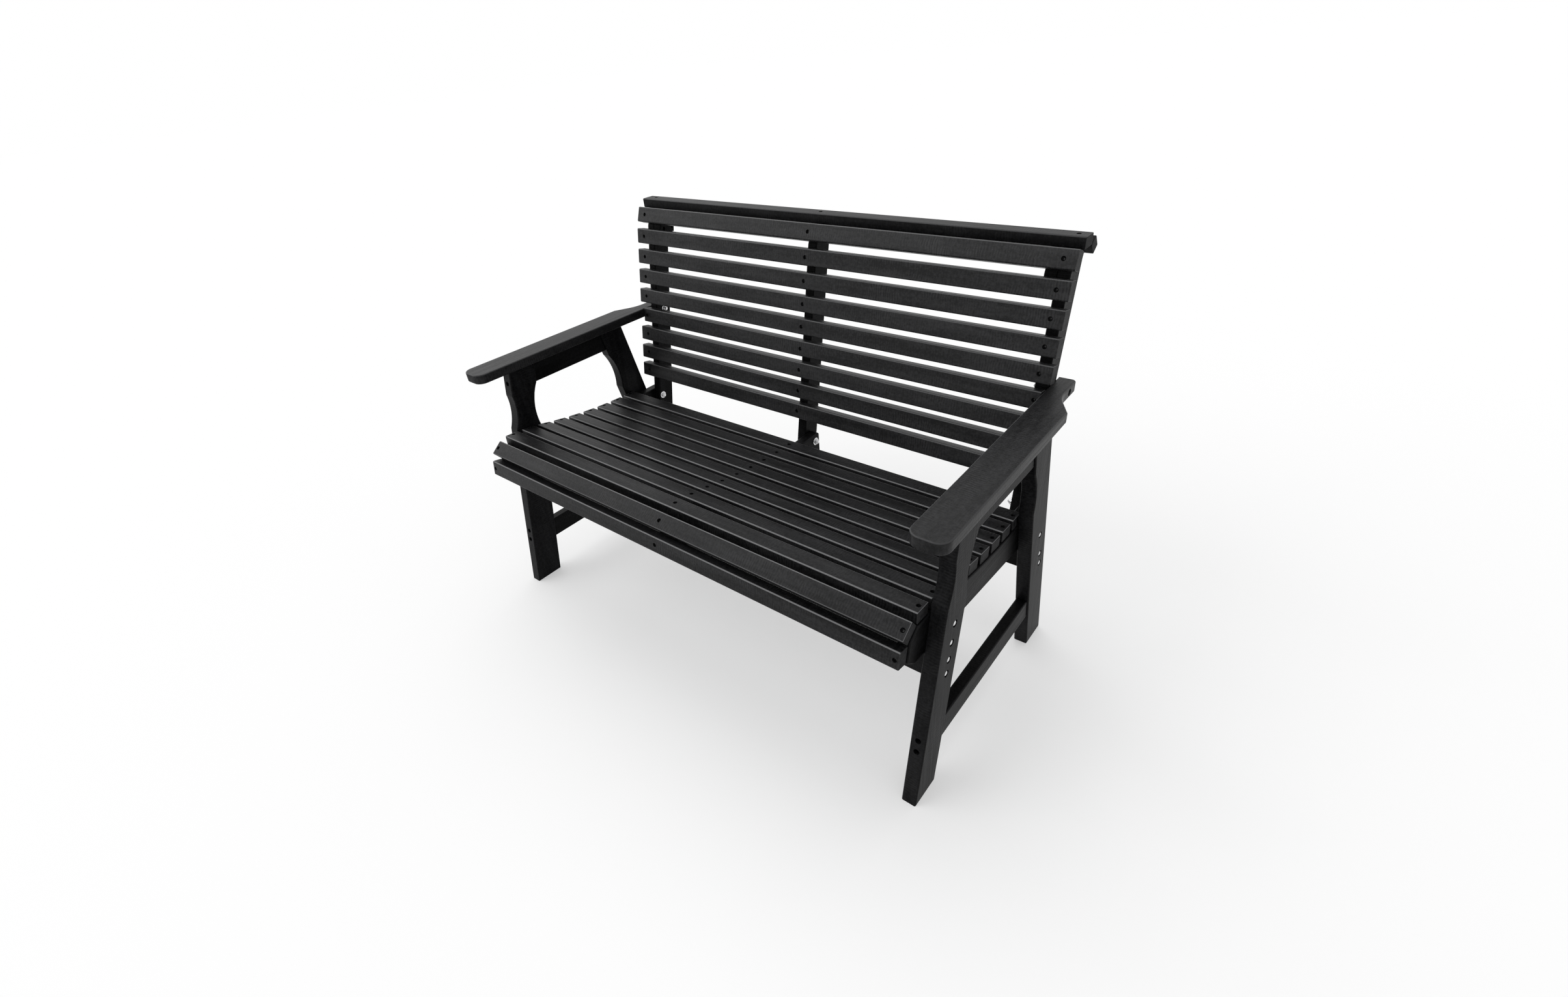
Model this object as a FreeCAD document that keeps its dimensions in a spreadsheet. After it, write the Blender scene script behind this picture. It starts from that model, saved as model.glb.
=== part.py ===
import FreeCAD, Part
import os
import re
import Sketcher

# Slatted park bench with a roll-top back, built from eased planks of solid plastic lumber.
# The part stands on z = 0, the sitter looks along -Y, and x = 0 is the middle of the width.
# Heights are measured from the floor. Depths are written from the toe of the front foot,
# and every piece is then moved by the same amount, so that y = 0 is the middle of the depth.

Vector = FreeCAD.Vector
Rotation = FreeCAD.Rotation
Placement = FreeCAD.Placement

SIZES = {
    # planks
    "leg_thick": 32.0,
    "leg_width": 77.0,
    "rail_thick": 25.4,
    "stile_thick": 25.4,
    "stile_depth": 53.0,
    "beam_thick": 27.0,
    "beam_height": 71.0,
    "brace_thick": 25.4,
    "slat_thick": 26.0,
    "slat_width": 38.1,
    "edge_ease": 3.2,
    "end_ease": 1.2,
    "corner_ease": 5.0,
    "fit_gap": 0.2,
    # stance of the legs
    "width_over_legs": 1291.4,
    "foot_spread": 460.5,
    "front_splay": 10.5,
    "rear_splay": 11.55,
    "brace_inset": 3.5,
    "stretcher_low": 107.0,
    "stretcher_height": 55.0,
    "apron_height": 57.0,
    # hollows sawn into the legs
    "ledge_height": 463.0,
    "hollow_drop": 68.0,
    "back_hollow_low": 445.0,
    "rear_hollow_low": 440.0,
    "rear_hollow_drop": 76.0,
    "hollow_radius": 150.0,
    # arms
    "arm_height": 645.0,
    "arm_thick": 24.0,
    "arm_front": 21.0,
    "arm_rear": 656.0,
    "arm_width": 70.7,
    "arm_toe": 0.6,
    "arm_corner": 23.0,
    "tail_width": 37.3,
    "tail_corner": 9.0,
    "shoulder_depth": 510.0,
    "neck_depth": 541.0,
    "neck_inset": 18.0,
    "tail_start": 592.0,
    "neck_radius": 95.0,
    # seat
    "seat_end_gap": 3.7,
    "seat_radius": 1469.0,
    "seat_low_depth": 483.4,
    "seat_low_height": 416.25,
    "seat_pitch": 49.5,
    "seat_slat_ahead": 25.6,
    "brow_radius": 620.0,
    "nose_gap": 0.2,
    "nose_tilt": 37.2,
    "front_slat_ahead": 6.9,
    "front_slat_below": 19.1,
    "front_tilt": 79.3,
    # seat rails
    "rail_end": 568.0,
    "rail_end_low": 309.0,
    "rail_slope": 5.2,
    "rail_end_top": 402.0,
    "nose_drop": 19.0,
    "nose_heel": 24.0,
    "centre_joint": -4.0,
    "front_beam_depth": 84.0,
    "rear_beam_depth": 516.0,
    # back
    "back_end_gap": 12.0,
    "recline": 11.4,
    "back_low_depth": 528.8,
    "back_low_height": 472.25,
    "back_pitch": 53.24,
    "top_step": 51.0,
    "top_tilt": 22.5,
    "cap_width": 38.0,
    "cap_thick": 23.0,
    "cap_end_gap": 10.7,
    "cap_cover": 4.1,
    "cap_gap": 1.6,
    "lip_slope": 53.5,
    "lip_width": 27.0,
    "lip_thick": 23.0,
    "cleat_thick": 25.4,
    "cleat_drop": 66.0,
    # fasteners
    "screw_head": 8.0,
    "screw_head_high": 3.0,
    "screw_shank": 4.5,
    "screw_recess": 9.5,
    "screw_sink": 6.0,
    "screw_length": 40.0,
    "screw_drive": 2.6,
    "screw_drive_deep": 2.0,
    "screw_tip": 0.8,
    "screw_stagger": 6.5,
    "short_screw_length": 37.0,
    "long_screw_length": 100.0,
    "long_screw_sink": 25.0,
    "long_screw_recess": 12.7,
    "brace_screw_pitch": 27.0,
    "brace_screw_rise": 6.75,
    "apron_screw_drop": 37.0,
    "arm_screw_length": 35.0,
    "arm_screw_bite": 15.0,
    "arm_screw_front": 240.0,
    "arm_screw_rear": 380.0,
    "cleat_screw_drop": 51.0,
    "cleat_screw_front": 14.0,
    "cleat_screw_rear": 45.0,
    "bolt_shank": 8.0,
    "bolt_head": 13.0,
    "bolt_head_high": 4.0,
    "bolt_recess": 15.5,
    "bolt_sink": 4.0,
    "bolt_proud": 2.0,
    "upper_bolt_depth": 118.0,
    "upper_bolt_height": 405.0,
    "lower_bolt_depth": 110.0,
    "lower_bolt_height": 364.0,
    "rear_bolt_depth": 512.0,
    "rear_bolt_height": 349.0,
    "lag_length": 90.0,
    "upper_lag_slide": 19.5,
    "lower_lag_slide": 13.5,
    "rear_upper_slide": 13.0,
    "rear_lower_slide": 20.0,
    "upper_lag_rise": 47.0,
    "lower_lag_rise": 16.0,
    "tail_bolt_inset": 30.3,
    "tail_bolt_proud": 0.4,
    "tail_bolt_sink": 12.0,
    "stile_bolt_inset": 12.5,
    "stile_bolt_height": 384.0,
    "stile_screw_inset": 20.5,
    "stile_screw_height": 334.0,
    "washer_width": 20.0,
    "washer_thick": 1.6,
    "nut_width": 13.0,
    "nut_high": 6.5,
}

SEAT_SLATS = 9
BROW_SLATS = 2
BACK_SLATS = 9

doc = FreeCAD.newDocument("Bench")
sheet = doc.addObject("Spreadsheet::Sheet", "Sizes")
for row, (alias, number) in enumerate(SIZES.items(), start=1):
    sheet.set(f"A{row}", alias)
    sheet.set(f"B{row}", str(number))
    sheet.setAlias(f"B{row}", alias)

places = doc.addObject("App::VarSet", "Places")
doc.recompute()


def sized(formula):
    """Writes the sheet's name before each size, so that a formula can use the bare words."""
    known = {name: f"Sizes.{name}" for name in SIZES}
    known.update({name: f"Places.{name}" for name in places.PropertiesList})
    return re.sub("[a-z_]+", lambda word: known.get(word.group(), word.group()), formula)


def value(formula):
    """The number that a formula comes to now."""
    result = places.evalExpression(sized(formula))
    return float(getattr(result, "Value", result))


def place(name, formula):
    """Keeps a size or place that follows from the driving sizes."""
    bound = sized(formula)
    places.addProperty("App::PropertyFloat", name, "Derived")
    places.setExpression(name, bound)
    doc.recompute()


# Legs: y of their front edge at height z is foot + z * lean
place("leg_outer", "width_over_legs / 2")
place("leg_inner", "leg_outer - leg_thick")
place("front_lean", "tan(front_splay)")
place("rear_lean", "-1 * tan(rear_splay)")
place("rear_foot", "leg_width + foot_spread")
place("arm_under", "arm_height - arm_thick")
place("rail_inner", "leg_inner - rail_thick")
place("stile_inner", "rail_inner - stile_thick")
place("seat_length", "2 * (leg_inner - seat_end_gap)")
place("back_length", "2 * (leg_inner - back_end_gap)")
place("arm_slat_length", "2 * (rail_inner - fit_gap)")
place("cap_length", "2 * (leg_inner - cap_end_gap)")

# Seat: a hollow arc carries the rear slats, and a crowned arc joins it under the front ones
place("seat_centre", "seat_low_height + seat_radius")
place("scoop_radius", "seat_radius + slat_thick + fit_gap")
place("seat_back_edge", "seat_low_depth - seat_slat_ahead + slat_width / 2 + fit_gap")
place("seat_back_z", "seat_centre - sqrt(scoop_radius ^ 2 - (seat_back_edge - seat_low_depth) ^ 2)")
place(
    "join_tilt",
    f"(seat_slat_ahead + {SEAT_SLATS - BROW_SLATS - 1} * seat_pitch) / seat_radius * 180 / pi",
)
place("join_y", "seat_low_depth - scoop_radius * sin(join_tilt)")
place("join_z", "seat_centre - scoop_radius * cos(join_tilt)")
place("brow_bed_radius", "brow_radius - slat_thick - fit_gap")
place("brow_centre_y", "seat_low_depth - (seat_radius + brow_radius) * sin(join_tilt)")
place("brow_centre_z", "seat_centre - (seat_radius + brow_radius) * cos(join_tilt)")

# The nose slat's lower rear corner meets the lower front corner of the first seat slat
place("first_tilt", f"join_tilt - {BROW_SLATS} * seat_pitch / brow_radius * 180 / pi")
place("first_low", "brow_radius - slat_thick")
place(
    "first_corner_y",
    "brow_centre_y + first_low * sin(first_tilt) - slat_width / 2 * cos(first_tilt)",
)
place(
    "first_corner_z",
    "brow_centre_z + first_low * cos(first_tilt) + slat_width / 2 * sin(first_tilt)",
)
place(
    "nose_y",
    "first_corner_y - nose_gap - slat_width / 2 * cos(nose_tilt) - slat_thick * sin(nose_tilt)",
)
place("nose_z", "first_corner_z - slat_width / 2 * sin(nose_tilt) + slat_thick * cos(nose_tilt)")
place(
    "front_y",
    "nose_y - slat_width / 2 * (cos(nose_tilt) + cos(front_tilt)) - front_slat_ahead",
)
place(
    "front_z",
    "nose_z - slat_width / 2 * (sin(nose_tilt) + sin(front_tilt)) - front_slat_below",
)

# Rail's nose: the beds of the nose slat and the front slat, and the chin below them
place("nose_seat_y", "nose_y + (slat_thick + fit_gap) * sin(nose_tilt)")
place("nose_seat_z", "nose_z - (slat_thick + fit_gap) * cos(nose_tilt)")
place("front_seat_y", "front_y + (slat_thick + fit_gap) * sin(front_tilt)")
place("front_seat_z", "front_z - (slat_thick + fit_gap) * cos(front_tilt)")
place("nose_turn", "front_tilt - nose_tilt")
place(
    "nose_run",
    "((nose_seat_y - front_seat_y) * sin(front_tilt)"
    " - (nose_seat_z - front_seat_z) * cos(front_tilt)) / sin(nose_turn)",
)
place("nose_point_y", "nose_seat_y - nose_run * cos(nose_tilt)")
place("nose_point_z", "nose_seat_z - nose_run * sin(nose_tilt)")
place("rail_fall", "tan(rail_slope)")
place("chin_y", "front_seat_y - nose_drop * cos(front_tilt)")
place("chin_z", "front_seat_z - nose_drop * sin(front_tilt)")
place("heel_y", "chin_y + nose_heel")
place("heel_z", "rail_end_low + (rail_end - heel_y) * rail_fall")

# Where the nose's bed meets the crowned one: the farther root of a line and a circle
place("brow_off_y", "brow_centre_y - nose_seat_y")
place("brow_off_z", "brow_centre_z - nose_seat_z")
place("brow_along", "brow_off_y * cos(nose_tilt) + brow_off_z * sin(nose_tilt)")
place("brow_across", "brow_off_z * cos(nose_tilt) - brow_off_y * sin(nose_tilt)")
place("brow_run", "brow_along + sqrt(brow_bed_radius ^ 2 - brow_across ^ 2)")
place("brow_y", "nose_seat_y + brow_run * cos(nose_tilt)")
place("brow_z", "nose_seat_z + brow_run * sin(nose_tilt)")

# Back: the stile's front line carries the slats
place("back_lean", "tan(recline)")
place("stile_front", "back_low_depth - back_low_height * back_lean + slat_thick / cos(recline)")
place("stile_rear", "stile_front + stile_depth / cos(recline)")
place("bend_run", f"back_pitch * {BACK_SLATS - 2} + top_step / 2")
place("bend_y", "back_low_depth + slat_thick * cos(recline) + bend_run * sin(recline)")
place("bend_z", "back_low_height - slat_thick * sin(recline) + bend_run * cos(recline)")
place("top_slat_y", "bend_y + top_step / 2 * sin(top_tilt) - slat_thick * cos(top_tilt)")
place("top_slat_z", "bend_z + top_step / 2 * cos(top_tilt) + slat_thick * sin(top_tilt)")
place("crest_run", "top_step / 2 + slat_width / 2")
place("crest_y", "bend_y + crest_run * sin(top_tilt)")
place("crest_z", "bend_z + crest_run * cos(top_tilt)")
place("cap_front", "crest_y - cap_cover")
place("cap_under", "crest_z + cap_cover * tan(top_tilt) + cap_gap")
place("cap_rear", "cap_front + cap_width")
place("head_y", "crest_y + (cap_under - crest_z) * tan(top_tilt)")
place(
    "slope_run",
    "(stile_rear + back_lean * cap_under - cap_rear)"
    " / (cos(lip_slope) + back_lean * sin(lip_slope))",
)
place("slope_y", "cap_rear + slope_run * cos(lip_slope)")
place("slope_z", "cap_under - slope_run * sin(lip_slope)")
place("foot_fall", "1 + rail_fall * back_lean")
place("stile_toe_z", "(rail_end_low + (rail_end - stile_front) * rail_fall) / foot_fall")
place("stile_heel_z", "(rail_end_low + (rail_end - stile_rear) * rail_fall) / foot_fall")

# The foremost and rearmost corners of the bench set the middle of its depth
place(
    "front_reach",
    "front_y - slat_width / 2 * cos(front_tilt)"
    " + edge_ease * (sin(front_tilt) + cos(front_tilt) - 1)",
)
place(
    "rear_reach",
    "cap_rear + lip_width * cos(lip_slope) + lip_thick * sin(lip_slope)"
    " - edge_ease * (sin(lip_slope) + cos(lip_slope) - 1)",
)
place("mid_depth", "(front_reach + rear_reach) / 2")


def origin_plane(body, role):
    return [feature for feature in body.Origin.OriginFeatures if feature.Role == role][0]


def bind(thing, name, formula):
    thing.setExpression(name, sized(formula))


def outline(body, role, corners):
    """
    Closed sketch through corners (u, v) of formulas. A third entry is the radius of an arc
    to the next corner: it bulges to the right of the way there, or to the left where it is negative.
    """
    sketch = body.newObject("Sketcher::SketchObject", f"{body.Name}_outline")
    sketch.AttachmentSupport = [(origin_plane(body, role), "")]
    sketch.MapMode = "FlatFace"
    points = [Vector(value(corner[0]), value(corner[1]), 0) for corner in corners]
    ends = []
    bound = []
    for index, corner in enumerate(corners):
        start = points[index]
        finish = points[(index + 1) % len(points)]
        if len(corner) == 2:
            ends.append((sketch.addGeometry(Part.LineSegment(start, finish), False), 1, 2))
            continue
        radius = value(corner[2])
        chord = finish - start
        right = Vector(chord.y, -chord.x, 0).normalize()
        rise = abs(radius) - (radius ** 2 - chord.Length ** 2 / 4) ** 0.5
        middle = (start + finish) / 2 + right * (rise if radius > 0 else -rise)
        # a sketch keeps its arcs anticlockwise
        arc = Part.Arc(start, middle, finish) if radius > 0 else Part.Arc(finish, middle, start)
        edge = sketch.addGeometry(arc, False)
        ends.append((edge, 1, 2) if radius > 0 else (edge, 2, 1))
        sketch.addConstraint(Sketcher.Constraint("Radius", edge, abs(radius)))
        bound.append((sketch.ConstraintCount - 1, corner[2].lstrip("-")))
    for index, (edge, first, last) in enumerate(ends):
        following = ends[(index + 1) % len(ends)]
        sketch.addConstraint(Sketcher.Constraint("Coincident", edge, last, following[0], following[1]))
        for kind, start_value, formula in (
            ("DistanceX", points[index].x, corners[index][0]),
            ("DistanceY", points[index].y, corners[index][1]),
        ):
            sketch.addConstraint(Sketcher.Constraint(kind, edge, first, start_value))
            bound.append((sketch.ConstraintCount - 1, formula))
    for constraint, formula in bound:
        bind(sketch, f"Constraints[{constraint}]", formula)
    return sketch


def new_body(name):
    body = doc.addObject("PartDesign::Body", name)
    body.Label = name
    return body


def pad(body, sketch, length):
    feature = body.newObject("PartDesign::Pad", f"{body.Name}_pad")
    feature.Profile = sketch
    bind(feature, "Length", length)
    doc.recompute()
    return feature


def ease(body, feature, radius, chosen):
    """Rounds the edges of a feature that pass a test."""
    names = [f"Edge{index}" for index, edge in enumerate(feature.Shape.Edges, start=1) if chosen(edge)]
    rounded = body.newObject("PartDesign::Fillet", f"{feature.Name}_eased")
    rounded.Base = (feature, names)
    bind(rounded, "Radius", radius)
    doc.recompute()
    return rounded


def runs_along(axis):
    def test(edge):
        if edge.Curve.TypeId != "Part::GeomLine":
            return False
        return abs(edge.tangentAt(edge.FirstParameter).dot(axis)) > 0.999
    return test


def stand(body, x, y="0", z="0", turn=None, axis=Vector(1, 0, 0)):
    """Binds a body's place; depths are measured from the toe of the front foot."""
    if turn is not None:
        body.Placement = Placement(Vector(0, 0, 0), Rotation(axis, value(turn)))
        bind(body, "Placement.Rotation.Angle", turn)
    bind(body, "Placement.Base.x", x)
    bind(body, "Placement.Base.y", f"{y} - mid_depth")
    bind(body, "Placement.Base.z", z)


def side_plank(name, corners, thick, x, rounded=()):
    """A plank with a sawn side outline, some of its corners rounded, its edges eased on both faces."""
    body = new_body(name)
    feature = pad(body, outline(body, "YZ_Plane", corners), thick)
    width = value(thick)
    if rounded:
        turns = [Vector(0, value(corners[index][0]), value(corners[index][1])) for index in rounded]

        def at_a_turn(edge):
            if edge.BoundBox.XLength < width / 2:
                return False
            foot = Vector(0, edge.CenterOfMass.y, edge.CenterOfMass.z)
            return min(foot.distanceToPoint(turn) for turn in turns) < 1e-4
        feature = ease(body, feature, "corner_ease", at_a_turn)

    def on_a_face(edge):
        box = edge.BoundBox
        return box.XLength < 1e-6 and (abs(box.XMin) < 1e-6 or abs(box.XMin - width) < 1e-6)
    ease(body, feature, "edge_ease", on_a_face)
    stand(body, x)
    return body


def left_x(outer):
    """Formula for the low x of the twin of a plank whose outer face is at x = outer."""
    return f"-1 * ({outer})"


# Legs: thick planks on edge, splayed front and rear, with hollows sawn above the seat
def front_line(height):
    return (f"({height}) * front_lean", height)


def front_back_line(height):
    return (f"leg_width + ({height}) * front_lean", height)


def rear_line(height):
    return (f"rear_foot + ({height}) * rear_lean", height)


def rear_back_line(height):
    return (f"rear_foot + leg_width + ({height}) * rear_lean", height)


FRONT_LEG = [
    front_line("0"),
    (*front_line("ledge_height"), "hollow_radius"),
    front_line("arm_under - hollow_drop"),
    front_line("arm_under"),
    front_back_line("arm_under"),
    (*front_back_line("arm_under - apron_height"), "hollow_radius"),
    front_back_line("back_hollow_low"),
    front_back_line("0"),
]
REAR_LEG = [
    rear_line("0"),
    (*rear_line("rear_hollow_low"), "hollow_radius"),
    rear_line("arm_under - rear_hollow_drop"),
    rear_line("arm_under"),
    rear_back_line("arm_under"),
    rear_back_line("0"),
]
frame = {}
for side, leg_x, brace_x in (
    ("left", left_x("leg_outer"), left_x("leg_outer - brace_inset")),
    ("right", "leg_inner", "leg_outer - brace_inset - brace_thick"),
):
    for piece, corners, rounded in (("front_leg", FRONT_LEG, (1, 2, 5, 6)), ("rear_leg", REAR_LEG, (1, 2))):
        name = f"{side}_{piece}"
        frame[name] = side_plank(name, corners, "leg_thick", leg_x, rounded)
    # Stretcher and arm apron: between the legs, their ends cut to the splay
    for piece, low, high in (
        ("stretcher", "stretcher_low", "stretcher_low + stretcher_height"),
        ("arm_apron", "arm_under - apron_height", "arm_under"),
    ):
        name = f"{side}_{piece}"
        ends = [front_back_line(low), rear_line(low), rear_line(high), front_back_line(high)]
        frame[name] = side_plank(name, ends, "brace_thick", brace_x)

# Seat rails: nose for two slats, crown and scoop for nine, level tail beside the stile
SEAT_RAIL = [
    ("chin_y", "chin_z"),
    ("heel_y", "heel_z"),
    ("rail_end", "rail_end_low"),
    ("rail_end", "rail_end_top"),
    ("seat_back_edge + rail_end_top - seat_back_z", "rail_end_top"),
    ("seat_back_edge", "seat_back_z", "-scoop_radius"),
    ("join_y", "join_z", "brow_bed_radius"),
    ("brow_y", "brow_z"),
    ("nose_point_y", "nose_point_z"),
]
BACK_STILE = [
    ("stile_front + back_lean * stile_toe_z", "stile_toe_z"),
    ("stile_rear + back_lean * stile_heel_z", "stile_heel_z"),
    ("slope_y", "slope_z"),
    ("cap_rear", "cap_under"),
    ("head_y", "cap_under"),
    ("bend_y", "bend_z"),
]
for side, rail_x, stile_x in (
    ("left", left_x("leg_inner"), left_x("rail_inner")),
    ("centre", "centre_joint", "centre_joint - stile_thick"),
    ("right", "rail_inner", "stile_inner"),
):
    name = f"{side}_seat_rail"
    frame[name] = side_plank(name, SEAT_RAIL, "rail_thick", rail_x, (0, 1, 2, 3, 5, 7))
    name = f"{side}_back_stile"
    frame[name] = side_plank(name, BACK_STILE, "stile_thick", stile_x)

# Cap cleats: blocks that double the head of each end stile under the cap
CAP_CLEAT = [
    ("stile_front + back_lean * (cap_under - cleat_drop)", "cap_under - cleat_drop"),
    ("stile_rear + back_lean * (cap_under - cleat_drop)", "cap_under - cleat_drop"),
    ("slope_y", "slope_z"),
    ("cap_rear", "cap_under"),
    ("head_y", "cap_under"),
    ("bend_y", "bend_z"),
]
for side, cleat_x in (("left", left_x("stile_inner")), ("right", "stile_inner - cleat_thick")):
    name = f"{side}_cap_cleat"
    frame[name] = side_plank(name, CAP_CLEAT, "cleat_thick", cleat_x)


def plank(name, length, wide, thick, x, y, z, tilt="0"):
    """A straight plank along X, its upper face centred on the place given, tilted about X."""
    body = new_body(name)
    corners = [
        (f"-1 * {wide} / 2", f"-1 * {thick}"),
        (f"{wide} / 2", f"-1 * {thick}"),
        (f"{wide} / 2", "0"),
        (f"-1 * {wide} / 2", "0"),
    ]
    feature = pad(body, outline(body, "YZ_Plane", corners), length)
    along = ease(body, feature, "edge_ease", runs_along(Vector(1, 0, 0)))
    far = value(length)

    def at_an_end(edge):
        box = edge.BoundBox
        return box.XLength < 1e-6 and (abs(box.XMin) < 1e-6 or abs(box.XMin - far) < 1e-6)
    ease(body, along, "end_ease", at_an_end)
    stand(body, x, y, z, tilt)
    return body


def drill(body, length, stations):
    """Screw holes down through a slat, each with a recess for the head."""
    for kind, across, deep in (("bore", "screw_shank", None), ("recess", "screw_recess", "screw_sink")):
        sketch = body.newObject("Sketcher::SketchObject", f"{body.Name}_{kind}_plan")
        sketch.AttachmentSupport = [(origin_plane(body, "XY_Plane"), "")]
        sketch.MapMode = "FlatFace"
        for station in stations:
            along = f"{length} / 2 + {station}"
            centre = Vector(value(along), 0, 0)
            ring = sketch.addGeometry(Part.Circle(centre, Vector(0, 0, 1), value(across) / 2), False)
            sketch.addConstraint(Sketcher.Constraint("PointOnObject", ring, 3, -1))
            sketch.addConstraint(Sketcher.Constraint("DistanceX", ring, 3, centre.x))
            bind(sketch, f"Constraints[{sketch.ConstraintCount - 1}]", along)
            sketch.addConstraint(Sketcher.Constraint("Diameter", ring, value(across)))
            bind(sketch, f"Constraints[{sketch.ConstraintCount - 1}]", across)
        cut = body.newObject("PartDesign::Pocket", f"{body.Name}_{kind}")
        cut.Profile = sketch
        if deep is None:
            cut.Type = "ThroughAll"
        else:
            bind(cut, "Length", deep)
        doc.recompute()


RAIL_STATIONS = ("-1 * (leg_inner - rail_thick / 2)", "(centre_joint + rail_thick / 2)",
                 "(leg_inner - rail_thick / 2)")
STILE_STATIONS = ("-1 * (rail_inner - stile_thick / 2)", "(centre_joint - stile_thick / 2)",
                  "(rail_inner - stile_thick / 2)")
slats = {"seat": [], "back": [], "cap": []}


def slat(family, name, length, stations, y, z, tilt):
    body = plank(name, length, "slat_width", "slat_thick", f"-1 * {length} / 2", y, z, tilt)
    drill(body, length, stations)
    slats[family].append((body, length, stations))
    return body


# Seat slats, front to rear over the crown and along the scoop, then the two on the nose
for number in range(1, SEAT_SLATS + 1):
    if number > BROW_SLATS:
        rise = f"(seat_slat_ahead + {SEAT_SLATS - number} * seat_pitch) / seat_radius * 180 / pi"
        y = f"seat_low_depth - seat_radius * sin({rise})"
        z = f"seat_centre - seat_radius * cos({rise})"
    else:
        rise = f"(join_tilt - {BROW_SLATS + 1 - number} * seat_pitch / brow_radius * 180 / pi)"
        y = f"brow_centre_y + brow_radius * sin({rise})"
        z = f"brow_centre_z + brow_radius * cos({rise})"
    slat("seat", f"seat_slat_{number}", "seat_length", RAIL_STATIONS, y, z, f"-1 * {rise}")
slat("seat", "seat_nose_slat", "seat_length", RAIL_STATIONS, "nose_y", "nose_z", "nose_tilt")
slat("seat", "seat_front_slat", "seat_length", RAIL_STATIONS, "front_y", "front_z", "front_tilt")


def between_arms(height):
    """Whether a back slat centred at this height stands level with the arms."""
    top = value(f"{height} + slat_width / 2 * cos(recline)")
    foot = value(f"{height} - slat_width / 2 * cos(recline) - slat_thick * sin(recline)")
    return foot < value("arm_height") and top > value("arm_under")


# Back slats, bottom to top up the stiles; one that is level with the arms is cut to fit between them
for number in range(1, BACK_SLATS):
    run = f"{number - 1} * back_pitch"
    height = f"back_low_height + {run} * cos(recline)"
    length = "arm_slat_length" if between_arms(height) else "back_length"
    slat("back", f"back_slat_{number}", length, STILE_STATIONS,
         f"back_low_depth + {run} * sin(recline)", height, "90 - recline")
slat("back", f"back_slat_{BACK_SLATS}", "back_length", STILE_STATIONS, "top_slat_y", "top_slat_z",
     "90 - top_tilt")

# Top cap, level on the stile heads, and the lip that rolls down behind it
for name, wide, thick, slide, y, z, tilt in (
    ("top_cap", "cap_width", "cap_thick", "+ screw_stagger", "(cap_front + cap_rear) / 2",
     "cap_under + cap_thick", "0"),
    ("rear_cap_lip", "lip_width", "lip_thick", "- screw_stagger",
     "cap_rear + lip_width / 2 * cos(lip_slope) + lip_thick * sin(lip_slope)",
     "cap_under - lip_width / 2 * sin(lip_slope) + lip_thick * cos(lip_slope)", "-1 * lip_slope"),
):
    stations = [f"({station} {slide})" for station in STILE_STATIONS]
    board = plank(name, "cap_length", wide, thick, "-1 * cap_length / 2", y, z, tilt)
    drill(board, "cap_length", stations)
    slats["cap"].append((board, "cap_length", stations))

# Cross beams: planks on edge from leg to leg, tucked under the rails
for name, depth in (("front_cross_beam", "front_beam_depth"), ("rear_cross_beam", "rear_beam_depth")):
    rear = f"({depth} + beam_thick)"
    top = f"(rail_end_low + (rail_end - {rear}) * rail_fall - fit_gap)"
    frame[name] = plank(name, "2 * leg_inner", "beam_thick", "beam_height", "-1 * leg_inner",
                        f"{depth} + beam_thick / 2", top)


# Arms: flat planks with rounded front corners, narrowed behind the leg to a tail beside the stile
def arm(name, side):
    body = new_body(name)

    def across(x):
        return f"{side} * ({x})"
    turn = "" if side == "1" else "-"
    corners = [
        (across("arm_corner"), "arm_front"),
        (across("arm_width - arm_corner"), "arm_front", f"{turn}arm_corner"),
        (across("arm_width"), "arm_front + arm_corner"),
        (across("arm_width"), "shoulder_depth"),
        (across("arm_width - neck_inset"), "neck_depth", f"-{turn}neck_radius".replace("--", "")),
        (across("tail_width"), "tail_start"),
        (across("tail_width"), "arm_rear - tail_corner", f"{turn}tail_corner"),
        (across("tail_width - tail_corner"), "arm_rear"),
        (across("0"), "arm_rear"),
        (across("0"), "arm_front + arm_corner", f"{turn}arm_corner"),
    ]
    feature = pad(body, outline(body, "XY_Plane", corners), "arm_thick")
    thick = value("arm_thick")

    def on_a_face(edge):
        box = edge.BoundBox
        return box.ZLength < 1e-6 and (abs(box.ZMin) < 1e-6 or abs(box.ZMin - thick) < 1e-6)
    ease(body, feature, "edge_ease", on_a_face)
    stand(body, across("rail_inner + arm_rear * sin(arm_toe)"), "arm_rear - arm_rear * cos(arm_toe)",
          "arm_under", f"{side} * arm_toe", Vector(0, 0, 1))
    return body


frame["left_arm"] = arm("left_arm", "-1")
frame["right_arm"] = arm("right_arm", "1")

doc.recompute()

# Fasteners: each axis starts at the mouth of its hole, and its +Z points out of the hole
AXIS = Vector(0, 0, 1)
# How far a cutting shape runs past the face that it opens
OVERRUN = 1.0
# A point is this many times as long as its shank is wide
POINT_RATIO = 2
solids = {}
bores = []


def axis_at(x, y, z, out):
    """Axis at a place given by formulas, with depth measured from the toe of the front foot."""
    return Placement(Vector(value(x), value(f"{y} - mid_depth"), value(z)), Rotation(AXIS, out))


def in_stile(height, inset):
    """Depth and height of a point behind the stile's front edge."""
    return f"stile_front + back_lean * {height} + {inset}", height


def rod(across, low, high):
    return Part.makeCylinder(across / 2, high - low, Vector(0, 0, low), AXIS)


def domed(across, low, high):
    """A head with a flat seat and a crown: the cap of a ball through its rim."""
    rise = high - low
    radius = ((across / 2) ** 2 + rise ** 2) / (2 * rise)
    ball = Part.makeSphere(radius, Vector(0, 0, high - radius))
    return ball.common(rod(across + OVERRUN, low, high + OVERRUN))


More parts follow.
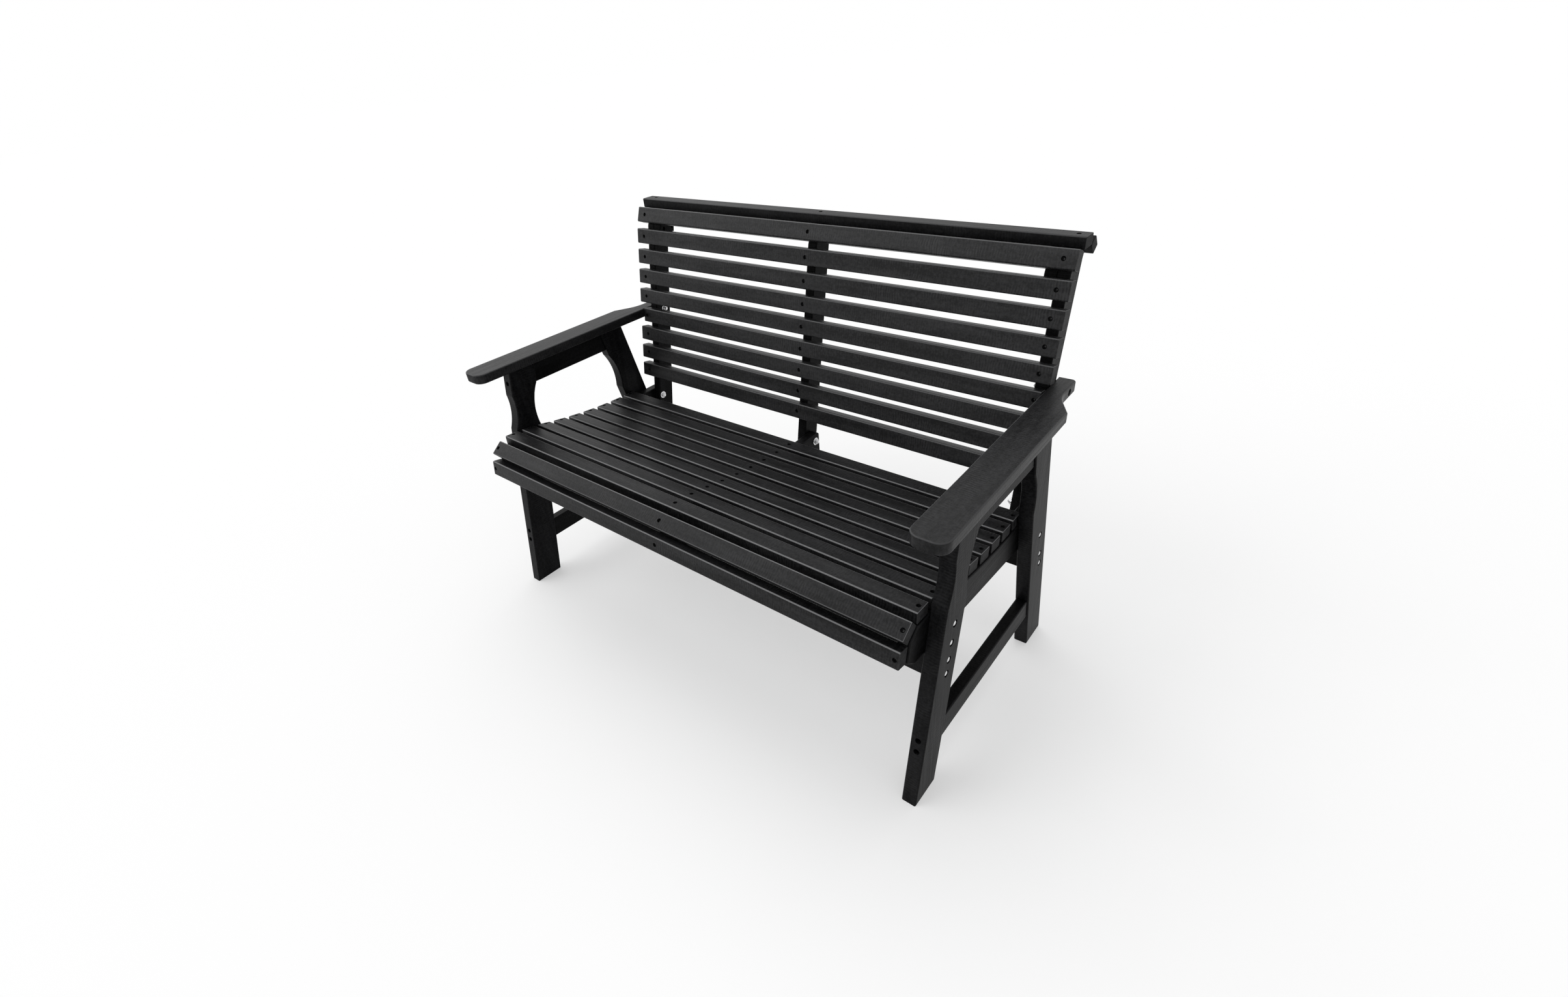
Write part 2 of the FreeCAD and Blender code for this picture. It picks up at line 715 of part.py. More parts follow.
def pointed(across, low, high):
    """A screw's shank, its last stretch drawn to a point."""
    taper = POINT_RATIO * across
    point = Part.makeCone(value("screw_tip") / 2, across / 2, taper, Vector(0, 0, low), AXIS)
    return point.fuse(rod(across, low + taper, high)).removeSplitter()


def screw(group, axis, length, sink, recess="screw_recess", ready=False):
    """
    A wood screw with a domed head and a square socket, sunk below the mouth.
    Where the head's recess is ready, only the shank cuts what it meets.
    """
    seat = -value(sink)
    tip = seat - value(length)
    high = value("screw_head_high")
    head = domed(value("screw_head"), seat, seat + high)
    drive = value("screw_drive")
    deep = value("screw_drive_deep")
    socket = Part.makeBox(drive, drive, deep, Vector(-drive / 2, -drive / 2, seat + high - deep))
    shank = pointed(value("screw_shank"), tip, seat)
    solid = head.cut(socket).fuse(shank).removeSplitter()
    hole = shank if ready else shank.fuse(rod(value(recess), seat, OVERRUN))
    for shape, keep in ((solid, solids.setdefault(group, [])), (hole, bores)):
        shape = shape.copy()
        shape.Placement = axis
        keep.append(shape)


def bolt(group, axis, grip, sink, nut):
    """A dome-headed bolt in a round recess. With a nut it goes right through, over a washer."""
    seat = -value(sink)
    far = -value(grip)
    shank = value("bolt_shank")
    parts = {group: domed(value("bolt_head"), seat, seat + value("bolt_head_high"))}
    if nut:
        washer = far - value("washer_thick")
        end = washer - value("nut_high")
        body = rod(shank, end - value("bolt_proud"), seat)
        corner = value("nut_width") / 3 ** 0.5
        points = [Rotation(AXIS, 60 * turn).multVec(Vector(corner, 0, end)) for turn in range(7)]
        prism = Part.Face(Part.makePolygon(points)).extrude(Vector(0, 0, washer - end))
        core = rod(shank, end - OVERRUN, far + OVERRUN)
        parts["bolt_nuts"] = prism.cut(core)
        parts["bolt_washers"] = rod(value("washer_width"), washer, far).cut(core)
    else:
        body = pointed(shank, far, seat)
    parts[group] = parts[group].fuse(body).removeSplitter()
    for name, shape in parts.items():
        shape.Placement = axis
        solids.setdefault(name, []).append(shape)
    hole = body.fuse(rod(value("bolt_recess"), seat, OVERRUN))
    hole.Placement = axis
    bores.append(hole)


# Slat and cap screws stand square to their own plank; the slats already have their holes
for family, group in (("seat", "seat_screws"), ("back", "back_screws"), ("cap", "cap_screws")):
    for body, length, stations in slats[family]:
        for station in stations:
            mouth = body.Placement.multVec(Vector(value(f"{length} / 2 + {station}"), 0, 0))
            axis = Placement(mouth, body.Placement.Rotation)
            screw(group, axis, "screw_length", "screw_sink", ready=True)

for side, sign in (("left", -1), ("right", 1)):
    outward = Vector(sign, 0, 0)

    def wide(x):
        return f"{sign} * ({x})"

    # Bolts through leg and rail, and lag bolts through the leg into the ends of the cross beams
    for y, z in (("upper_bolt_depth", "upper_bolt_height"), ("lower_bolt_depth", "lower_bolt_height"),
                 ("rear_bolt_depth", "rear_bolt_height")):
        bolt("rail_bolts", axis_at(wide("leg_outer"), y, z, outward), "leg_thick + rail_thick",
             "bolt_sink", True)
    for beam, slide, rise in (("front", "upper_lag_slide", "upper_lag_rise"),
                              ("front", "lower_lag_slide", "lower_lag_rise"),
                              ("rear", "rear_upper_slide", "upper_lag_rise"),
                              ("rear", "rear_lower_slide", "lower_lag_rise")):
        low = f"(rail_end_low + (rail_end - {beam}_beam_depth - beam_thick) * rail_fall - beam_height)"
        bolt("beam_lag_bolts", axis_at(wide("leg_outer"), f"{beam}_beam_depth + {slide}", f"{low} + {rise}",
                                       outward), "lag_length", "bolt_sink", False)

    # Tail of the arm to the stile
    head = axis_at(wide("rail_inner + tail_width + tail_bolt_proud"),
                   *in_stile("(arm_under + arm_thick / 2)", "tail_bolt_inset"), outward)
    bolt("arm_bolts", head, "tail_width + tail_bolt_proud + stile_thick", "tail_bolt_sink", True)

    # Long screws through the legs into the ends of stretcher and apron
    brace = wide("leg_outer - brace_inset - brace_thick / 2")
    front = Rotation(Vector(1, 0, 0), value("-1 * front_splay")).multVec(Vector(0, -1, 0))
    rear = Rotation(Vector(1, 0, 0), value("rear_splay")).multVec(Vector(0, 1, 0))
    middle = "stretcher_low + stretcher_height / 2"
    for drop in ("(-1 * brace_screw_pitch / 2)", "brace_screw_pitch / 2"):
        high = f"({middle} + leg_width / 2 * sin(front_splay) + brace_screw_rise + {drop})"
        screw("brace_screws", axis_at(brace, f"{high} * front_lean", high, front),
              "long_screw_length", "long_screw_sink", "long_screw_recess")
        screw("brace_screws", axis_at(brace, f"rear_foot + leg_width + {high} * rear_lean", high, rear),
              "long_screw_length", "long_screw_sink", "long_screw_recess")
    high = "(arm_under - apron_screw_drop)"
    screw("brace_screws", axis_at(brace, f"{high} * front_lean", high, Vector(0, -1, 0)),
          "long_screw_length", "long_screw_sink", "long_screw_recess")
    screw("brace_screws",
          axis_at(brace, f"rear_foot + leg_width + {high} * rear_lean", high, Vector(0, 1, 0)),
          "long_screw_length", "long_screw_sink", "long_screw_recess")

    # Screws up through the apron into the arm
    for depth in ("arm_screw_front", "arm_screw_rear"):
        screw("arm_screws", axis_at(brace, depth, "arm_under - apron_height", Vector(0, 0, -1)),
              "arm_screw_length", "apron_height + arm_screw_bite - arm_screw_length", "long_screw_recess")

    # Cap cleats to the stiles
    for inset in ("cleat_screw_front", "cleat_screw_rear"):
        head = axis_at(wide("stile_inner - cleat_thick"),
                       *in_stile("(cap_under - cleat_screw_drop)", inset), -outward)
        screw("joint_screws", head, "short_screw_length", "screw_sink")

# Stiles to rails: a bolt, and a screw below it, which keeps the joint from turning
for bolt_face, bolt_out, screw_face, screw_out in (
    ("-1 * leg_inner", -1, "-1 * stile_inner", 1),
    ("centre_joint - stile_thick", -1, "centre_joint - stile_thick", -1),
    ("leg_inner", 1, "stile_inner", -1),
):
    head = axis_at(bolt_face, *in_stile("stile_bolt_height", "stile_bolt_inset"), Vector(bolt_out, 0, 0))
    bolt("stile_bolts", head, "rail_thick + stile_thick", "bolt_sink", True)
    head = axis_at(screw_face, *in_stile("stile_screw_height", "stile_screw_inset"),
                   Vector(screw_out, 0, 0))
    screw("joint_screws", head, "short_screw_length", "screw_sink")

# Planks take the holes that meet them
nodes = {}
for name, body in frame.items():
    box = body.Shape.BoundBox
    met = [bore for bore in bores if bore.BoundBox.intersect(box) and bore.common(body.Shape).Volume > 1e-3]
    if not met:
        nodes[name] = body
        continue
    body.Label = f"{name}_plank"
    tool = doc.addObject("Part::Feature", f"{name}_bores")
    tool.Shape = Part.makeCompound(met)
    cut = doc.addObject("Part::Cut", f"{name}_drilled")
    cut.Base = body
    cut.Tool = tool
    cut.Label = name
    nodes[name] = cut
for family in slats.values():
    for body, length, stations in family:
        nodes[body.Label] = body
for name, group in solids.items():
    feature = doc.addObject("Part::Feature", name)
    feature.Label = name
    feature.Shape = Part.makeCompound(group)
    nodes[name] = feature
doc.recompute()

broken = [item.Name for item in doc.Objects if "Invalid" in item.State or "Error" in item.State]
if broken:
    raise RuntimeError(f"failed objects: {broken}")
bad = [name for name, item in nodes.items() if item.Shape.isNull() or not item.Shape.isValid()]
if bad:
    raise RuntimeError(f"bad shapes: {bad}")
os.makedirs("parts", exist_ok=True)
for name, item in nodes.items():
    item.Shape.exportStep(f"parts/{name}.step")
    print(name, len(item.Shape.Solids), round(item.Shape.Volume / 1000, 1))
print(len(nodes), "nodes")
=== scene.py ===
import math

import bpy
import numpy as np
from mathutils import Euler, Matrix, Vector


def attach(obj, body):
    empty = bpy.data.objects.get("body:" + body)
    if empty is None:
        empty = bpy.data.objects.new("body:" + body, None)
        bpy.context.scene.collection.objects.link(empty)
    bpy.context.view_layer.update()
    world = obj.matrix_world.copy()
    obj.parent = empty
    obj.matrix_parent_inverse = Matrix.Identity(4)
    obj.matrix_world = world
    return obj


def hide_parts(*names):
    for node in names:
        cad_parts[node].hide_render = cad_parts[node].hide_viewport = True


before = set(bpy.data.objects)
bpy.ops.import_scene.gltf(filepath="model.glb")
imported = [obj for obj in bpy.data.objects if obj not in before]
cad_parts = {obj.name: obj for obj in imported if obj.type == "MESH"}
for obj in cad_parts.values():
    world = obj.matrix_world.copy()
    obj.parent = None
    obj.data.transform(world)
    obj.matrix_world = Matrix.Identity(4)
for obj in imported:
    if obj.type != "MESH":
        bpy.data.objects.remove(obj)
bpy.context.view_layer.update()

# Seat slats: nine along the scoop, one on the nose and one under it.
# Each is a bar of black recycled polyethylene lumber, extruded, planed and routed round its edges,
# then screwed down through sunk holes. The planer leaves faint ripples across the bar.

# Spacings are counts for each metre, and a row of three gives them along the board and across it
PEBBLES = 165
DIE_LINES = (5, 330, 330)
CHATTER_PATCHES = (12, 30, 30)
STREAKS = (3, 38, 38)
SAW_GRIT = 900
# Metres from crest to crest of the planer's ripples, and of a wave texture whose scale is 1
RIPPLE_PITCH = 0.006
WAVE_PITCH = 0.314
# Depths in millimetres
PEBBLE_DEPTH = 0.3
LINE_DEPTH = 0.07
RIPPLE_DEPTH = 0.16
SAWN_DEPTH = 0.25
# Roughness where planed, at its least and most, where sawn and where rubbed
PLANED = (0.36, 0.48)
SAWN = 0.62
RUBBED = 0.3
POLYETHYLENE_IOR = 1.54


def linear(colour):
    """A hex colour as linear red, green, blue and alpha: each channel of the sRGB curve turned back."""
    channels = [int(colour[start:start + 2], 16) / 255 for start in (1, 3, 5)]
    return [c / 12.92 if c <= 0.04045 else ((c + 0.055) / 1.055) ** 2.4 for c in channels] + [1]


def add(tree, kind, inputs=(), **settings):
    """Adds one node, sets its properties, and fills its inputs with values, nodes or their outputs."""
    made = tree.nodes.new("ShaderNode" + kind)
    for name, setting in settings.items():
        setattr(made, name, setting)
    for name, value in dict(inputs).items():
        if isinstance(value, bpy.types.Node):
            value = value.outputs[0]
        if isinstance(value, bpy.types.NodeSocket):
            tree.links.new(value, made.inputs[name])
        else:
            made.inputs[name].default_value = value
    return made


def broad_face(mesh):
    """The way a board's widest face looks: the normal whose triangles have the largest area together."""
    normals, areas = np.empty(len(mesh.polygons) * 3), np.empty(len(mesh.polygons))
    mesh.polygons.foreach_get("normal", normals)
    mesh.polygons.foreach_get("area", areas)
    ways, which = np.unique(normals.reshape(-1, 3).round(3), axis=0, return_inverse=True)
    return ways[np.bincount(which.ravel(), areas).argmax()]


def lumber(name, dark, light, edge_highlight, shine, broad, turn):
    """
    Extruded polyethylene lumber. A board runs along X once Mapping has turned it: die lines run
    with it, planer ripples cross it, and a fine pebble covers it. Its sawn ends are duller, and the
    routed edges that look upwards are rubbed smoother and painted lighter, a painted highlight in a colour of
    their own.
    """
    material = bpy.data.materials.new(name)
    material.use_nodes = True
    tree = material.node_tree
    shader = tree.nodes["Principled BSDF"]
    place = add(tree, "TexCoord")
    board = add(tree, "Mapping", {"Vector": place.outputs["Object"], "Rotation": turn})

    # Pebble of the cooled skin. It is about 1 mm across, and is drawn at 6 mm so that it shows
    pebble = add(tree, "TexNoise", {"Vector": board, "Scale": PEBBLES, "Detail": 3, "Roughness": 0.7})

    # Die lines 3 mm apart and decimetres long
    drawn = add(tree, "Mapping", {"Vector": board, "Scale": DIE_LINES})
    lines = add(tree, "TexNoise", {"Vector": drawn, "Scale": 1, "Detail": 4, "Roughness": 0.55})

    # Planer ripples 6 mm apart, in hand-sized patches where the knife chattered
    ripple = add(tree, "TexWave", {"Vector": board, "Scale": WAVE_PITCH / RIPPLE_PITCH, "Distortion": 6,
                                   "Detail": 2, "Detail Scale": 0.8}, bands_direction="X")
    patch = add(tree, "Mapping", {"Vector": board, "Scale": CHATTER_PATCHES})
    chatter = add(tree, "TexNoise", {"Vector": patch, "Scale": 1, "Detail": 2})
    chattered = add(tree, "MapRange", {"Value": chatter, "From Min": 0.45, "From Max": 0.68, "To Min": 0.15})
    rippled = add(tree, "Math", {0: ripple, 1: chattered}, operation="MULTIPLY")

    # Sawn ends: where the face looks along the board
    along = Euler(turn).to_matrix()[0]
    facing = add(tree, "VectorMath", {0: place.outputs["Normal"], 1: along}, operation="DOT_PRODUCT")
    square = add(tree, "Math", {0: facing.outputs["Value"]}, operation="ABSOLUTE")
    sawn = add(tree, "MapRange", {"Value": square, "From Min": 0.93, "From Max": 0.985})
    grit = add(tree, "TexNoise", {"Vector": place.outputs["Object"], "Scale": SAW_GRIT, "Detail": 2})

    # Routed edges: where the face looks neither as the board's broad face does nor square to it.
    # Those that look up are smoother and get a lighter colour, a painted highlight where light from above
    # catches them; those that look down stay as they were cut
    flat = add(tree, "VectorMath", {0: place.outputs["Normal"], 1: broad}, operation="DOT_PRODUCT")
    squared = add(tree, "Math", {0: flat.outputs["Value"], 1: flat.outputs["Value"]}, operation="MULTIPLY")
    slant = add(tree, "Math", {0: squared, 1: 0.5}, operation="SUBTRACT")
    off = add(tree, "Math", {0: slant}, operation="ABSOLUTE")
    routed = add(tree, "MapRange", {"Value": off, "From Min": 0.48, "From Max": 0.3})
    level = add(tree, "SeparateXYZ", {0: place.outputs["Normal"]})
    upward = add(tree, "MapRange", {"Value": level.outputs["Z"], "From Min": 0.1, "From Max": 0.5})
    rubbed_and_highlit = add(tree, "Math", {0: routed, 1: upward}, operation="MULTIPLY")

    # Height in millimetres, joined from all of them, on a bump that takes metres
    fine = add(tree, "Math", {0: pebble, 1: PEBBLE_DEPTH}, operation="MULTIPLY")
    scored = add(tree, "Math", {0: lines, 1: LINE_DEPTH, 2: fine}, operation="MULTIPLY_ADD")
    faced = add(tree, "Math", {0: rippled, 1: RIPPLE_DEPTH, 2: scored}, operation="MULTIPLY_ADD")
    rough = add(tree, "Math", {0: grit, 1: SAWN_DEPTH}, operation="MULTIPLY")
    height = add(tree, "Mix", {"Factor": sawn, "A": faced, "B": rough})
    bump = add(tree, "Bump", {"Height": height, "Distance": 0.001})
    tree.links.new(bump.outputs[0], shader.inputs["Normal"])

    # Carbon black is stirred in unevenly, in broad streaks with the board. The pebble's pits and the planer
    # ripples' hollows are painted darker, as painted shade of that relief
    cloud = add(tree, "Mapping", {"Vector": board, "Scale": STREAKS})
    stirred = add(tree, "TexNoise", {"Vector": cloud, "Scale": 1, "Detail": 5, "Roughness": 0.65})
    pebble_shade_and_streaks = add(tree, "Math", {0: pebble, 1: stirred}, operation="ADD")
    streaks_and_relief_shade = add(tree, "Math", {0: rippled, 1: 0.25, 2: pebble_shade_and_streaks}, operation="MULTIPLY_ADD")
    shade = add(tree, "MapRange", {"Value": streaks_and_relief_shade, "From Min": 0.85, "From Max": 1.3})
    black = add(tree, "Mix", {"Factor": shade, 6: linear(dark), 7: linear(light)}, data_type="RGBA")
    # Painted highlight: the routed edges that look up take a lighter colour of their own
    highlit_edges = add(tree, "Mix", {"Factor": rubbed_and_highlit, 6: black.outputs[2], 7: linear(edge_highlight)}, data_type="RGBA")
    tree.links.new(highlit_edges.outputs[2], shader.inputs["Base Color"])

    # Satin where planed, duller along the die lines and on the sawn ends
    satin = add(tree, "MapRange", {"Value": lines, "From Min": 0.3, "From Max": 0.7,
                                   "To Min": PLANED[0], "To Max": PLANED[1]})
    dull = add(tree, "Mix", {"Factor": sawn, "A": satin, "B": SAWN})
    burnished = add(tree, "Mix", {"Factor": rubbed_and_highlit, "A": dull, "B": RUBBED})
    tree.links.new(burnished.outputs[0], shader.inputs["Roughness"])
    shader.inputs["IOR"].default_value = POLYETHYLENE_IOR
    shader.inputs["Specular IOR Level"].default_value = shine
    return material


def dress(material, name):
    """Gives a CAD node its material in place of the imported one."""
    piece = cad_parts[name]
    piece.data.materials.clear()
    piece.data.materials.append(material)


def planks(dark, light, edge_highlight, shine, *names, turn=(0, 0, 0)):
    """
    Planks of one group, all of the same lumber: the two shades of their black, set darker for groups that lie
    in shade and lighter for those in light, as painted shade and light; the colour of the painted highlight
    on their rubbed routed edges;
    their shine; and the turn that lays them along X.
    """
    for name in names:
        broad = broad_face(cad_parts[name].data)
        dress(lumber(f"{name}_polyethylene", dark, light, edge_highlight, shine, broad, turn), name)


# Each group's two blacks are painted light and shade, set to how light or dark that group shows: darkest for
# the boards in shade under the seat and behind the slats, lighter for the seat, back and arms. The third
# colour is the painted highlight on the routed edges that look up.
planks("#0a0a0b", "#252526", "#6c6c6d", 0.12, "seat_nose_slat", "seat_front_slat",
       *[f"seat_slat_{number}" for number in range(1, 10)])

# Back slats: nine bars of the same lumber, screwed up the stiles through sunk holes.
# The fourth is sawn short to pass between the arms, and the ninth leans back with the stiles' heads.
planks("#0f0f10", "#2c2c2d", "#4c4c4d", 0.17, *[f"back_slat_{number}" for number in range(1, 10)])

# Top cap and the lip behind it: two bars of the same lumber that roll the back over.
# They are screwed to the heads of the stiles through sunk holes.
planks("#060607", "#1c1c1d", "#3c3c3d", 0.08, "top_cap", "rear_cap_lip")

# Cross beams: deeper boards of the same lumber, on edge under the seat rails from leg to leg.
# Two lag bolts through the leg hold each end.
# Their blacks are among the darkest, as painted shade under the seat
planks("#030303", "#111112", "#161617", 0.05, "front_cross_beam", "rear_cross_beam")

# Seat rails, stretchers and aprons: boards on edge that run from front to back,
# sawn to outline and routed round the edges.
fore_and_aft = (0, 0, math.radians(-90))
# Their blacks are among the darkest, as painted shade under the seat and arms
planks("#030303", "#141415", "#1a1a1b", 0.05, "left_seat_rail", "centre_seat_rail", "right_seat_rail",
       "left_stretcher", "right_stretcher", "left_arm_apron", "right_arm_apron", turn=fore_and_aft)

# Arms: wide flat boards with rounded front corners, narrowed at the rear to a tail.
# They are screwed from below, through the aprons, and a bolt holds each tail to its stile.
planks("#0c0c0d", "#272728", "#3a3a3b", 0.13, "left_arm", "right_arm", turn=fore_and_aft)

# Legs: thicker boards on edge, splayed to front and rear, with hollows sawn above the seat.
# Rails and beams are bolted to them, and stretchers and aprons are screwed.
upright = (0, math.radians(90), 0)
planks("#070708", "#1d1d1e", "#131314", 0.05, "left_front_leg", "right_front_leg", "left_rear_leg",
       "right_rear_leg", turn=upright)

# Back stiles and the cleats that double their heads: boards on edge behind the slats,
# whose die lines lean back with them.
RECLINE = 11.4
leaning = (math.radians(RECLINE), math.radians(90), 0)
# Their blacks are among the darkest, as painted shade behind the slats
planks("#030303", "#141415", "#1a1a1b", 0.04, "left_back_stile", "centre_back_stile", "right_back_stile",
       "left_cap_cleat", "right_cap_cleat", turn=leaning)

# Wood screws: case-hardened steel with a black ceramic coat, pan heads with a square socket,
# driven to the floor of each recess.

# Polish varies by this share either way, and the darkest spots have this share of the colour
POLISH_SPREAD = 0.25
SPOT_TINT = 0.9


def metal(name, colour, roughness, spot_scale, metallic=1):
    """
    Steel whose polish varies from spot to spot by a quarter of its roughness, with faint dents.
    Its smoother spots are up to a tenth darker.
    """
    material = bpy.data.materials.new(name)
    material.use_nodes = True
    tree = material.node_tree
    shader = tree.nodes["Principled BSDF"]
    place = add(tree, "TexCoord")
    spots = add(tree, "TexNoise", {"Vector": place.outputs["Object"], "Scale": spot_scale, "Detail": 4})
    polish = add(tree, "MapRange", {"Value": spots, "From Min": 0.3, "From Max": 0.7,
                                    "To Min": roughness * (1 - POLISH_SPREAD),
                                    "To Max": roughness * (1 + POLISH_SPREAD)})
    tree.links.new(polish.outputs[0], shader.inputs["Roughness"])
    shaded = [channel * SPOT_TINT for channel in linear(colour)[:3]] + [1]
    tint = add(tree, "Mix", {"Factor": spots, 6: shaded, 7: linear(colour)}, data_type="RGBA")
    tree.links.new(tint.outputs[2], shader.inputs["Base Color"])
    dents = add(tree, "Bump", {"Height": spots, "Strength": 0.3, "Distance": 0.0001})
    tree.links.new(dents.outputs[0], shader.inputs["Normal"])
    shader.inputs["Metallic"].default_value = metallic
    return material


screw_coat = metal("black_ceramic_coat", "#141415", 0.45, 1500, metallic=0)
for name in ("seat_screws", "back_screws", "cap_screws", "brace_screws", "arm_screws", "joint_screws"):
    dress(screw_coat, name)

# Bolts: stainless steel, forged with a plain domed head and a rolled thread at the far end.
# They pass through leg and rail, or screw into the end of a cross beam.
# Sizes in metres. The rim is the upright part of the head's edge, and the ease the chamfer under it
HEAD_RADIUS = 0.0065
HEAD_HEIGHT = 0.004
HEAD_RIM = 0.0006
HEAD_EASE = (0.0003, 0.0002)
CROWN_RINGS = 15
SHANK_RADIUS = 0.004
BOLT_THREAD = 0.022
LAG_THREAD = 0.055
THREAD_PITCH = 0.00125
THREAD_DEPTH = 0.00068
THREAD_STEPS = 6
END_CHAMFER = (0.0008, 0.0004)
# Turned pieces have this many sides, and are shaded smooth up to this angle in degrees
SIDES = 36
SMOOTH_ANGLE = 35
stainless = metal("stainless_steel_forged", "#dadadb", 0.16, 700)


def islands(node):
    """
    Splits a CAD node's points into its separate solids: each point takes the lowest label
    of its triangles, until no label changes.
    """
    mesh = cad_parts[node].data
    points = np.empty(len(mesh.vertices) * 3)
    mesh.vertices.foreach_get("co", points)
    points, where = np.unique(points.reshape(-1, 3).round(7), axis=0, return_inverse=True)
    corners = np.empty(len(mesh.loops), int)
    mesh.loops.foreach_get("vertex_index", corners)
    triangles = where.ravel()[corners].reshape(-1, 3)
    label = np.arange(len(points))
    while True:
        lower = label.copy()
        np.minimum.at(lower, triangles.ravel(), np.repeat(label[triangles].min(axis=1), 3))
        if (lower == label).all():
            return [points[label == one] for one in np.unique(label)]
        label = lower


def turned(stations, radii, hollow=False):
    """
    A surface of revolution about X. Each station has one radius, or one for each of its sides, and the
    profile runs towards -X on its outside. A solid one is capped, a hollow one's last ring meets its first.
    """
    stations = np.asarray(stations)
    radii = np.asarray(radii)
    radii = np.broadcast_to(radii if radii.ndim == 2 else radii[:, None], (len(stations), SIDES))
    angle = np.linspace(0, 2 * np.pi, SIDES, endpoint=False)
    points = np.stack([np.broadcast_to(stations[:, None], radii.shape), radii * np.cos(angle),
                       radii * np.sin(angle)], axis=-1).reshape(-1, 3)
    rings = len(stations) if hollow else len(stations) - 1
    ring = np.arange(rings)[:, None]
    side = np.arange(SIDES)[None, :]
    after, below = (side + 1) % SIDES, (ring + 1) % len(stations)
    quads = np.stack([ring * SIDES + side, below * SIDES + side, below * SIDES + after,
                      ring * SIDES + after], axis=-1)
    faces = quads.reshape(-1, 4).tolist()
    if not hollow:
        faces += [side[0].tolist(), (rings * SIDES + side[0, ::-1]).tolist()]
    return points, faces


def joined(name, copies, material, replaced):
    """
    One mesh of many placed copies of (points, faces), shaded smooth up to an angle,
    in place of a CAD node.
    """
    starts = np.cumsum([0] + [len(points) for points, faces in copies])
    faces = [[corner + start for corner in face] for (points, listed), start in zip(copies, starts.tolist())
             for face in listed]
    mesh = bpy.data.meshes.new(name)
    mesh.from_pydata(np.concatenate([points for points, listed in copies]).tolist(), [], faces)
    mesh.materials.append(material)
    mesh.shade_smooth()
    mesh.set_sharp_from_angle(angle=math.radians(SMOOTH_ANGLE))
    piece = bpy.data.objects.new(name, mesh)
    bpy.context.scene.collection.objects.link(piece)
    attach(piece, "root")
    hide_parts(replaced)


def seated(shape, place, way):
    """Places a shape made along X, turned half round about Z where its way out is -X."""
    points, faces = shape
    return points * (way, way, 1) + place, faces


def dome_bolt(length, threaded):
    """
    A bolt along -X with its head's seat at 0. The crown is an ellipse on a short rim, with a small flat
    on top; the thread is a triangle wave of the turn and the way along, grown over its first pitch.
    """
    turn = np.linspace(0, np.pi / 2, CROWN_RINGS)
    high, deep = HEAD_EASE
    plain = np.concatenate([
        np.stack([HEAD_RIM + (HEAD_HEIGHT - HEAD_RIM) * np.cos(turn),
                  HEAD_RADIUS * np.maximum(np.sin(turn), 0.03)], axis=1),
        [[high, HEAD_RADIUS], [0, HEAD_RADIUS - deep], [0, SHANK_RADIUS], [threaded - length, SHANK_RADIUS]],
    ])
    step = THREAD_PITCH / THREAD_STEPS
    bare, drop = END_CHAMFER
    along = np.arange(threaded - length - step, bare - length, -step)[:, None]
    phase = along / THREAD_PITCH + np.arange(SIDES) / SIDES
    wave = np.abs(2 * (phase - np.floor(phase + 0.5)))
    grown = np.clip((along[0] - along) / THREAD_PITCH, 0, 1)
    thread = SHANK_RADIUS - THREAD_DEPTH * wave * grown
    end = np.full((1, SIDES), SHANK_RADIUS - THREAD_DEPTH - drop)
    radii = np.concatenate([np.repeat(plain[:, 1:], SIDES, axis=1), thread, end])
    return turned(np.concatenate([plain[:, 0], along[:, 0], [-length]]), radii)


def bolts(node, threaded):
    """Measures each CAD bolt, finds its headed end, and sets a dome-headed bolt of the same length there."""
    copies = []
    for points in islands(node):
        low, high = points.min(axis=0), points.max(axis=0)
        middle = (low + high) / 2
        reach = np.hypot(points[:, 1] - middle[1], points[:, 2] - middle[2])
        at_rim = reach > HEAD_RADIUS * 0.9
        way = 1 if points[at_rim, 0].mean() > middle[0] else -1
        crown = high[0] if way > 0 else low[0]
        shape = dome_bolt(high[0] - low[0] - HEAD_HEIGHT, threaded)
        copies.append(seated(shape, (crown - way * HEAD_HEIGHT, middle[1], middle[2]), way))
    joined(f"{node}_forged", copies, stainless, node)


bolts("rail_bolts", BOLT_THREAD)
bolts("stile_bolts", BOLT_THREAD)
bolts("arm_bolts", BOLT_THREAD)
bolts("beam_lag_bolts", LAG_THREAD)

# Lock nuts and washers: stainless hexagons with chamfered corners and a nylon ring in a turned collar,
# each on a punched washer, on the inner faces of rails and stiles.
NUT_FLATS = 0.013
NUT_COLLAR = 0.0052
WASHER_RADIUS = 0.010
BORE = SHANK_RADIUS + 0.0001
# The hexagon takes this share of a nut's height, and its collar the rest
HEXAGON_SHARE = 0.72
# Radii of the cone that cuts the hexagon's corners, as shares of half its flats, and their depths
CORNER_CUT = np.array([0.97, 1.06, 1.17])
CORNER_DEPTH = np.array([0, 0.0004, 0.0009])


